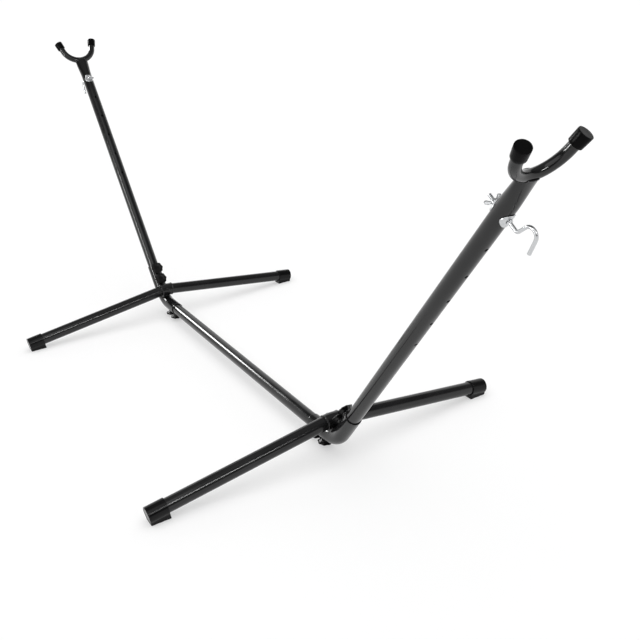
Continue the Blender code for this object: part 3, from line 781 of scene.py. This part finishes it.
seat = SADDLE_OUTER_R + GAP
head_swing = np.linspace(0.12, 0.9, 8) * math.pi / 2
turn = np.linspace(0, 2 * math.pi, CAP_ROUND + 1)
hexagon = HEX_HALF / np.cos((turn % (math.pi / 3)) - math.pi / 6)
screw_tip = TUBE_R - TUBE_WALL - SCREW_INSIDE
dome = seat + SCREW_RIM / 2
dome_rise = SCREW_HEAD_HEIGHT - SCREW_RIM / 2
circles = [(0, screw_tip), (SCREW_R, screw_tip), (SCREW_R, seat)]
circles += [(SCREW_HEAD_R, seat), (SCREW_HEAD_R, seat + SCREW_RIM)]
circles += [(SCREW_HEAD_R * math.cos(a), dome + dome_rise * math.sin(a)) for a in head_swing]
head_top = circles[-1][1]
circles += [(HEX_HALF * 1.25, head_top)]


def shaped_ring(reach_out, height):
    """One closed ring about Z, given how far it reaches at each angle of turn."""
    return np.stack((reach_out * np.cos(turn), reach_out * np.sin(turn), height + 0 * turn), -1)


hex_mouth, hex_floor = head_top - HEX_EDGE, head_top - HEX_DEPTH
hex_rows = ((hexagon, hex_mouth), (hexagon, hex_floor), (0 * hexagon, hex_floor))
screw_grid = np.concatenate([turned(circles)] + [shaped_ring(*row)[None] for row in hex_rows])
screw_aim = Matrix.Translation(base_middle) @ Matrix.Rotation(math.radians(SCREW_RISE - 90), 4, "Y")
screw_grid = placed(screw_grid, screw_aim)
at_both_ends(
    "saddle_button_screw_{}", [screw_grid], gloss_coat, "saddle_screw_{}", sharp=40
)


# ---------------------------------------------------------------- the knob screws
# Eight hand screws clamp the tubes in the sockets. Each has a threaded ring welded to the socket, an eight
# lobed knob moulded in black plastic with a dished top, and a zinc plated stud through ring and tube wall.

KNOB_R = 0.020
KNOB_LOBE = 0.0022
KNOB_LOBES = 8
KNOB_HEIGHT = 0.0125
KNOB_BORE = 0.008
KNOB_ROLL = 0.0024
KNOB_DISH = 0.0012
KNOB_DISH_R = 0.0110
KNOB_FOOT_R = 0.0115
KNOB_FOOT_HEIGHT = 0.0030
BOSS_R = 0.007
BOSS_HEIGHT = 0.005
STUD_R = 0.004
KNOB_ROUND = 120

knob_plastic = surfaced_material(
    "moulded_black_knob",
    dark=(0.003, 0.003, 0.0032),
    light=(0.006, 0.006, 0.006),
    gloss=0.27,
    haze=0.12,
    pebble_scale=1700.0,
    pebble_height=0.00008,
    IOR=1.35,
)

low = BOSS_HEIGHT + GAP
turn = np.linspace(0, 2 * math.pi, KNOB_ROUND + 1)
lobes = np.cos(KNOB_LOBES * turn)
knob_rim = KNOB_R - KNOB_LOBE / 2
stud_clear = STUD_R + GAP
# Each point of a profile is a radius, a height and the share of the lobes, or of the socket's round, there.
knob_profile = [(0.0, KNOB_BORE, 0), (stud_clear, KNOB_BORE, 0), (stud_clear, 0.0, 0), (KNOB_FOOT_R, 0.0, 0)]
knob_profile += [(KNOB_FOOT_R + 0.0012, 0.0003, 0.1), (KNOB_FOOT_R + 0.0020, 0.0012, 0.2)]
knob_profile += [(KNOB_FOOT_R + 0.0032, 0.0022, 0.4)]
under_rim = rolled_edge(knob_rim, KNOB_ROLL + KNOB_FOOT_HEIGHT, -KNOB_ROLL, 270, 180, 6)
knob_profile += [(r, z, 1) for r, z in under_rim]
knob_profile += [(r, z, 1) for r, z in rolled_edge(knob_rim, KNOB_HEIGHT, KNOB_ROLL, 0, 90, 8)]
knob_profile += [(knob_rim - KNOB_ROLL - 0.0016, KNOB_HEIGHT, 0.6)]
knob_profile += [(KNOB_DISH_R + 0.0020, KNOB_HEIGHT - 0.0003, 0.2)]
knob_profile += [(KNOB_DISH_R + 0.0008, KNOB_HEIGHT - 0.0008, 0), (KNOB_DISH_R, KNOB_HEIGHT - KNOB_DISH, 0)]
knob_profile += [(0.0050, KNOB_HEIGHT - KNOB_DISH, 0), (0.0, KNOB_HEIGHT - KNOB_DISH, 0)]
knob_rows = [shaped_ring(r + share * KNOB_LOBE / 2 * lobes, low + z) for r, z, share in knob_profile]
knob_grid = np.stack(knob_rows)

boss_profile = [(stud_clear, 0.0, 1), (BOSS_R + 0.0022, 0.0, 1), (BOSS_R + 0.0012, 0.0003, 0.9)]
boss_profile += [(BOSS_R + 0.0005, 0.0009, 0.7), (BOSS_R + 0.0001, 0.0017, 0.4), (BOSS_R, 0.0026, 0)]
boss_profile += [(BOSS_R, BOSS_HEIGHT - 0.0005, 0), (BOSS_R - 0.0001, BOSS_HEIGHT - 0.0002, 0)]
boss_profile += [(BOSS_R - 0.0005, BOSS_HEIGHT, 0), (stud_clear + 0.0004, BOSS_HEIGHT, 0)]
boss_profile += [(stud_clear, BOSS_HEIGHT - 0.0004, 0), (stud_clear, 0.0, 1)]
turn = np.linspace(0, 2 * math.pi, CAP_ROUND + 1)
boss_rows = []
for radius, height, share in boss_profile:
    x, y = radius * np.cos(turn), radius * np.sin(turn)
    sag = SOCKET_R - np.sqrt(SOCKET_R**2 - y**2)
    boss_rows.append(np.stack((x, y, height - share * sag), -1))
boss_grid = np.stack(boss_rows)


ZINC_BRIGHT = (0.64, 0.65, 0.66, 1.0)
ZINC_DULL = (0.50, 0.51, 0.52, 1.0)
SPOTS_DULL = 0.14
LINES_DULL = 0.12
LINE_DEPTH = 0.00002


def zinc_material(name, grain_scale, grain_stretch, gloss):
    """Bright zinc plate: a metal whose gloss and tint vary in fine drawn lines and a few dull spots."""
    material, tree, shader = blank_material(name)
    shader.inputs["Metallic"].default_value = 1.0
    place = tree.nodes.new("ShaderNodeTexCoord").outputs["Object"]
    stretch = node(tree, "ShaderNodeMapping")
    stretch.inputs["Scale"].default_value = grain_stretch
    tree.links.new(place, stretch.inputs["Vector"])
    grain = node(tree, "ShaderNodeTexNoise", Scale=grain_scale, Detail=3.0, Roughness=0.6)
    tree.links.new(stretch.outputs["Vector"], grain.inputs["Vector"])
    spots = node(tree, "ShaderNodeTexNoise", Scale=230.0, Detail=4.0, Roughness=0.6)
    tree.links.new(place, spots.inputs["Vector"])
    dull = map_range(tree, spots.outputs["Fac"], 0.5, 0.7, 0.0, SPOTS_DULL)
    lined = map_range(tree, grain.outputs["Fac"], 0.3, 0.7, gloss, gloss + LINES_DULL)
    tree.links.new(arithmetic(tree, "ADD", dull, lined), shader.inputs["Roughness"])
    tone = node(tree, "ShaderNodeMix", data_type="RGBA")
    tree.links.new(spots.outputs["Fac"], tone.inputs["Factor"])
    tone.inputs["A"].default_value = ZINC_BRIGHT
    tone.inputs["B"].default_value = ZINC_DULL
    tree.links.new(tone.outputs["Result"], shader.inputs["Base Color"])
    emboss(tree, shader, grain.outputs["Fac"], LINE_DEPTH)
    return material


stud_zinc = zinc_material("zinc_plated_stud", 900.0, (1.0, 1.0, 1.0), 0.22)
for end in "ab":
    for name in [f"{place}_screw_{end}{i}" for place in ("upright", "spine") for i in (1, 2)]:
        joint = joints[name + "_turn"]
        facing = Vector(joint["axis"]).normalized()
        along = Vector((0, 1, 0)).cross(facing)
        spot = Matrix((along, Vector((0, 1, 0)), facing)).transposed().to_4x4()
        spot.translation = Vector(joint["pos_m"])
        knob = skin(name + "_hand_knob", [placed(knob_grid, spot)], knob_plastic)
        stands_for(knob, name + "_knob", name)
        boss = skin(name + "_welded_ring", [placed(boss_grid, spot)], gloss_coat)
        stands_for(boss, name + "_boss", "stand")
        stud = frame["nodes"][name + "_stud"]
        stud.data.materials.clear()
        stud.data.materials.append(stud_zinc)


# ---------------------------------------------------------------- the hooks
# An 8 mm rod of bright zinc plated steel through the top hole of each upright. Outside, it bends up along the
# tube and back over in an arch that opens downward. Inside, its thread carries the wing nut.

HOOK_R = 0.004
HOOK_REACH = 0.0441
HOOK_RISE = 0.0203
HOOK_RISE_LEAN = 17.0
HOOK_BEND_R = 0.008
HOOK_ARCH_R = 0.0165
HOOK_SPLAY = 11.6
HOOK_DROP = 0.032
HOOK_THREAD = 0.046
COLLAR_R = 0.007
COLLAR_WIDTH = 0.0025
THREAD_PITCH = 0.00125
THREAD_DEPTH = 0.00045
THREADED_FROM = 0.0012
THREADED_TO = 0.028
TIP_ROLL = 0.0008
HOOK_ROUND = 32

hook_length, hook_line = centre_line(
    (-HOOK_THREAD, 0),
    0,
    [
        (HOOK_THREAD + HOOK_REACH, 0),
        (HOOK_BEND_R, 90 - HOOK_RISE_LEAN),
        (HOOK_RISE, 0),
        (HOOK_ARCH_R, HOOK_RISE_LEAN + HOOK_SPLAY - 180),
        (HOOK_DROP, 0),
    ],
)
hook_axis = corner + hook_height * up


def hook_skin(angle, distance, radius):
    """The rod's skin about its centre line, in the plane of the hole's axis and the upright's own axis."""
    angle, distance, radius = np.broadcast_arrays(angle, distance, radius)
    x, z, heading = (value[..., None] for value in hook_line(distance))
    outward = -inward
    left = np.cos(heading) * up - np.sin(heading) * outward
    side = np.cross(outward, up)
    ring = np.cos(angle)[..., None] * left + np.sin(angle)[..., None] * side
    return hook_axis + x * outward + z * up + radius[..., None] * ring


bright_zinc = zinc_material("bright_zinc_plate", 700.0, (1.0, 1.0, 1.0), 0.16)
turn = np.linspace(0, 2 * math.pi, HOOK_ROUND + 1)
thread_rows = np.arange(THREADED_FROM, THREADED_TO, THREAD_PITCH / 8)[:, None]
phase = (thread_rows / THREAD_PITCH + turn / (2 * math.pi)) % 1.0
groove = THREAD_DEPTH * (1 - np.abs(2 * phase - 1))
fade = np.clip((thread_rows - THREADED_FROM) / 0.001, 0, 1)
fade = fade * np.clip((THREADED_TO - thread_rows) / 0.002, 0, 1)
hook_grids = [hook_skin(turn, thread_rows, HOOK_R - groove * fade)]
plain_rows = np.linspace(thread_rows[-1, 0], hook_length - TIP_ROLL, 150)[:, None]
hook_grids.append(hook_skin(turn, plain_rows, HOOK_R))
for far, direction in ((0.0, 1.0), (hook_length, -1.0)):
    back = thread_rows[0, 0] if direction > 0 else TIP_ROLL
    swing = np.linspace(0, math.pi / 2, 6)
    rows = far + direction * back * (1 - np.sin(swing))
    radii = HOOK_R - back * (1 - np.cos(swing))
    rows, radii = np.append(rows, far), np.append(radii, 0.0)
    hook_grids.append(hook_skin(turn, rows[:, None], radii[:, None]))

# A small collar is swaged on the rod and bears on the outer washer.
WASHER_THICK = 0.002
WASHER_HIGH = TUBE_R + 2 * GAP + WASHER_THICK
collar_low = HOOK_THREAD + WASHER_HIGH + GAP
collar_profile = [(HOOK_R * 0.9, 0), (COLLAR_R - 0.0004, 0), (COLLAR_R, 0.0004)]
collar_profile += [(COLLAR_R, COLLAR_WIDTH - 0.0008), (COLLAR_R - 0.0008, COLLAR_WIDTH)]
collar_profile += [(HOOK_R + 0.0006, COLLAR_WIDTH + 0.0002), (HOOK_R * 0.9, COLLAR_WIDTH + 0.001)]
collar = np.array(collar_profile)
hook_collar = hook_skin(turn, collar_low + collar[:, 1:], collar[:, :1])
hook_grids.append(hook_collar)
at_both_ends("bent_hook_{}", hook_grids, bright_zinc, "hook_{}", "hook_{}_body", sharp=45)


# ---------------------------------------------------------------- the washers
# A zinc plated washer on each side of the upright, bent across to lie close on the round of the tube.

WASHER_R = 0.017
WASHER_ROLL = 0.0004

washer_low = TUBE_R + 2 * GAP
washer_inner = HOOK_R + GAP
edge = WASHER_ROLL * 0.3
section = [(washer_inner, WASHER_ROLL), (washer_inner + WASHER_ROLL, 0)]
section += [(washer_inner + (WASHER_R - washer_inner) * t, 0) for t in (0.25, 0.5, 0.75)]
section += [(WASHER_R - WASHER_ROLL, 0), (WASHER_R - edge, edge), (WASHER_R, WASHER_ROLL)]
section += [(WASHER_R, WASHER_THICK - WASHER_ROLL), (WASHER_R - edge, WASHER_THICK - edge)]
section += [(WASHER_R - WASHER_ROLL, WASHER_THICK)]
section += [(washer_inner + (WASHER_R - washer_inner) * t, WASHER_THICK) for t in (0.75, 0.5, 0.25)]
section += [(washer_inner + WASHER_ROLL, WASHER_THICK), (washer_inner, WASHER_THICK - WASHER_ROLL)]
section += [(washer_inner, WASHER_ROLL)]
turn = np.linspace(0, 2 * math.pi, CAP_ROUND + 1)
section = np.array(section)
# The flat ring is rolled over the tube: a point's height is the root of its radius squared less y squared.
x, y = section[:, :1] * np.cos(turn), section[:, :1] * np.sin(turn)
washer_grid = np.stack((x, y, np.sqrt((washer_low + section[:, 1:]) ** 2 - y**2)), -1)
brushed_zinc = zinc_material("brushed_zinc_washer", 500.0, (1.0, 6.0, 1.0), 0.24)


def facing_matrix(direction):
    """A frame at the hook's hole with Z along the direction out of the upright and Y across the stand."""
    facing = Vector(direction).normalized()
    across_stand = Vector((0, 1, 0))
    spot = Matrix((across_stand.cross(facing), across_stand, facing)).transposed().to_4x4()
    spot.translation = Vector(hook_axis)
    return spot


for label, direction in (("outer", -inward), ("inner", inward)):
    grid = placed(washer_grid, facing_matrix(direction))
    at_both_ends("bent_washer_{}_" + label, [grid], brushed_zinc, "washer_{}_" + label)


# ---------------------------------------------------------------- the wing nuts
# A cast and zinc plated wing nut on the hook's thread, on the inner side of the upright. The two wings rise
# from a round body and are thick at the root and rounded at the tip.

WING_BODY_R = 0.007
WING_BODY_HEIGHT = 0.008
WING_SPAN = 0.0185
WING_HEIGHT = 0.0165
WING_THICK = 0.0026
WING_ROOT = (0.0052, 0.0048)
WING_TIP_BACK = (0.0022, 0.0040)
WING_CLOSES_FROM = 0.82
WING_TILT = 38.0
WING_TURN = 62.0

nut_seat = WASHER_HIGH + GAP
body_profile = [(HOOK_R + 0.0001, 0.0005), (HOOK_R + 0.0005, 0)]
body_profile += [(WING_BODY_R - 0.0004, 0), (WING_BODY_R, 0.0004)]
body_profile += [(WING_BODY_R, 0.0020), (WING_BODY_R - 0.0003, 0.0040), (WING_BODY_R - 0.0008, 0.0064)]
body_profile += [(WING_BODY_R - 0.0012, WING_BODY_HEIGHT - 0.0004), (WING_BODY_R - 0.0018, WING_BODY_HEIGHT)]
body_profile += [(HOOK_R + 0.0006, WING_BODY_HEIGHT), (HOOK_R + 0.0001, WING_BODY_HEIGHT - 0.0005)]
body_profile += [(HOOK_R + 0.0001, 0.0005)]
nut_grids = [turned(body_profile)]
root_to_tip = np.linspace(0, 1, 25)[:, None]
round_section = np.linspace(0, 2 * math.pi, 33)
# The wing's centre line climbs outward from the body, and its width and thickness shrink at the tip.
line_x = WING_ROOT[0] + (WING_SPAN - WING_ROOT[0] - WING_TIP_BACK[0]) * root_to_tip**0.85
line_z = WING_ROOT[1] + (WING_HEIGHT - WING_ROOT[1] - WING_TIP_BACK[1]) * root_to_tip**1.5
near_tip = np.clip((root_to_tip - WING_CLOSES_FROM) / (1 - WING_CLOSES_FROM), 0, 1)
closing = np.sqrt(np.clip(1 - near_tip**2, 0, 1))
half_width = (0.0030 + 0.0016 * np.sin(root_to_tip * math.pi * 0.6)) * closing
half_thick = (WING_THICK / 2 + 0.0009 * (1 - root_to_tip) ** 2) * (0.25 + 0.75 * closing) * closing
wing_tilt = math.radians(WING_TILT)
wing_x = line_x - half_width * np.cos(round_section) * math.sin(wing_tilt)
wing_z = line_z + half_width * np.cos(round_section) * math.cos(wing_tilt)
wing_x = np.minimum(wing_x + WING_TIP_BACK[0] * near_tip, WING_SPAN)
wing_y = half_thick * np.sin(round_section)
for side in (1.0, -1.0):
    wing = np.stack((side * wing_x, wing_y, wing_z), -1)
    middle = np.broadcast_to(wing[:1, :-1].mean(1, keepdims=True), wing[:1].shape)
    nut_grids.append(np.concatenate((middle, wing)))
nut_grids = [grid + np.array((0.0, 0.0, nut_seat)) for grid in nut_grids]
cast_zinc = zinc_material("cast_zinc_wing_nut", 420.0, (1.0, 1.0, 1.0), 0.2)
nut_spot = facing_matrix(inward) @ Matrix.Rotation(math.radians(WING_TURN), 4, "Z")
nut_grids = [placed(grid, nut_spot) for grid in nut_grids]
at_both_ends("cast_wing_nut_{}", nut_grids, cast_zinc, "wing_nut_{}", "wing_nut_{}_body")


# ---------------------------------------------------------------- the studio
# A plain white floor that runs out of sight and glows faintly, under a white surround with a dark ceiling.
# Long soft boxes hang parallel to the tubes and draw the bright lines along them.

FLOOR_HALF = 300.0
FLOOR_GREY = 0.5
FLOOR_GLOW = 0.46

floor_material, _, floor_shader = blank_material("plain_floor")
floor_shader.inputs["Base Color"].default_value = (FLOOR_GREY, FLOOR_GREY, FLOOR_GREY, 1.0)
floor_shader.inputs["Emission Color"].default_value = (1.0, 1.0, 1.0, 1.0)
floor_shader.inputs["Emission Strength"].default_value = FLOOR_GLOW
floor_shader.inputs["Roughness"].default_value = 0.9
floor_shader.inputs["Specular IOR Level"].default_value = 0.0
floor_axis = np.linspace(-FLOOR_HALF, FLOOR_HALF, 2)
floor_grid = np.stack(np.meshgrid(floor_axis, floor_axis, [0.0], indexing="ij"), -1)[:, :, 0]
floor = skin("studio_floor", [floor_grid], floor_material)

# The surround is white low down, higher up on the -X side than on the +X side, then dark, and grey overhead.
HORIZON = 1.0
DARK = 0.12
OVERHEAD = 0.2
OVERHEAD_FROM = 0.72
OVERHEAD_TO = 0.92
WHITE_TILT = (0.31, -0.25, 1.0)
WHITE_TO = 0.29
DARK_FROM = 0.40

world = bpy.data.worlds.new("studio")
bpy.context.scene.world = world
world.use_nodes = True
sky = world.node_tree
direction = sky.nodes.new("ShaderNodeTexCoord").outputs["Generated"]
height = sky.nodes.new("ShaderNodeVectorMath")
height.operation = "DOT_PRODUCT"
height.inputs[1].default_value = WHITE_TILT
sky.links.new(direction, height.inputs[0])
low_white = map_range(sky, height.outputs["Value"], WHITE_TO, DARK_FROM, HORIZON, DARK)
climb = sky.nodes.new("ShaderNodeSeparateXYZ")
sky.links.new(direction, climb.inputs["Vector"])
overhead = map_range(sky, climb.outputs["Z"], OVERHEAD_FROM, OVERHEAD_TO, 0.0, OVERHEAD)
brightness = arithmetic(sky, "ADD", low_white, overhead)
# Only reflections and shading see the dark part. Looked at directly, the surround is plain white.
seen = sky.nodes.new("ShaderNodeLightPath").outputs["Is Camera Ray"]
sky.nodes["Background"].inputs["Color"].default_value = (1.0, 1.0, 1.0, 1.0)
sky.links.new(arithmetic(sky, "MAXIMUM", brightness, seen), sky.nodes["Background"].inputs["Strength"])


def strip_box(name, place, target, along, wide, high, power):
    """A rectangular light that faces its target with its long side along the given direction. It is seen in
    reflections only, so that it leaves the floor evenly lit."""
    light = bpy.data.lights.new(name, "AREA")
    light.shape = "RECTANGLE"
    light.size, light.size_y = wide, high
    light.energy = power
    lamp = bpy.data.objects.new(name, light)
    bpy.context.scene.collection.objects.link(lamp)
    back = (Vector(place) - Vector(target)).normalized()
    long_side = (Vector(along) - Vector(along).dot(back) * back).normalized()
    pose = Matrix((long_side, back.cross(long_side), back)).transposed().to_4x4()
    pose.translation = Vector(place)
    lamp.matrix_world = pose
    lamp.visible_diffuse = False


FILL_ENERGY = 2.5
FILL_SPREAD = 100.0
FILL_TURN = (8.0, 6.0, 0.0)

fill_light = bpy.data.lights.new("fill", "SUN")
fill_light.energy = FILL_ENERGY
fill_light.angle = math.radians(FILL_SPREAD)
fill = bpy.data.objects.new("fill", fill_light)
bpy.context.scene.collection.objects.link(fill)
fill.rotation_euler = [math.radians(value) for value in FILL_TURN]
fill.visible_glossy = False

far_lean = (-float(up[0]), 0.0, float(up[2]))
strip_box("base_strip", (3.8, 0.1, 2.55), (0.63, 0.1, 0.05), (0, 1, 0), 1.2, 0.22, 26.0)
strip_box("spine_strip", (-6.5, -2.0, 2.5), (-6.5, 0.0, 0.05), (1, 0, 0), 5.0, 1.2, 540.0)
strip_box("upright_strip", (-0.54, -3.8, 1.71), (-1.415, 0.0, 1.06), far_lean, 2.0, 0.3, 75.0)
strip_box("upright_panel", (1.97, -2.0, 3.3), (-1.0, 0.0, 0.5), (0, 1, 0), 4.0, 3.6, 54.0)
bpy.context.scene.view_settings.view_transform = "Standard"

CAMERA_PLACE = (2.34247, -1.05867, 1.36101)
CAMERA_AZIMUTH = 60.882
CAMERA_DROP = 24.267
CAMERA_ROLL = -3.630
CAMERA_LENS = 45.278
CAMERA_SHIFT = (0.0419, -0.0099)

camera_data = bpy.data.cameras.new("camera")
camera_data.lens = CAMERA_LENS
camera_data.sensor_width = 36.0
camera_data.shift_x, camera_data.shift_y = CAMERA_SHIFT
camera = bpy.data.objects.new("camera", camera_data)
bpy.context.scene.collection.objects.link(camera)
azimuth, dip, roll_angle = (math.radians(value) for value in (CAMERA_AZIMUTH, CAMERA_DROP, CAMERA_ROLL))
forward = Vector((-math.sin(azimuth) * math.cos(dip), math.cos(azimuth) * math.cos(dip), -math.sin(dip)))
right = forward.cross(Vector((0, 0, 1))).normalized()
above = right.cross(forward)
camera_right = math.cos(roll_angle) * right + math.sin(roll_angle) * above
camera_up = math.cos(roll_angle) * above - math.sin(roll_angle) * right
pose = Matrix((camera_right, camera_up, -forward)).transposed().to_4x4()
pose.translation = Vector(CAMERA_PLACE)
camera.matrix_world = pose
bpy.context.scene.camera = camera
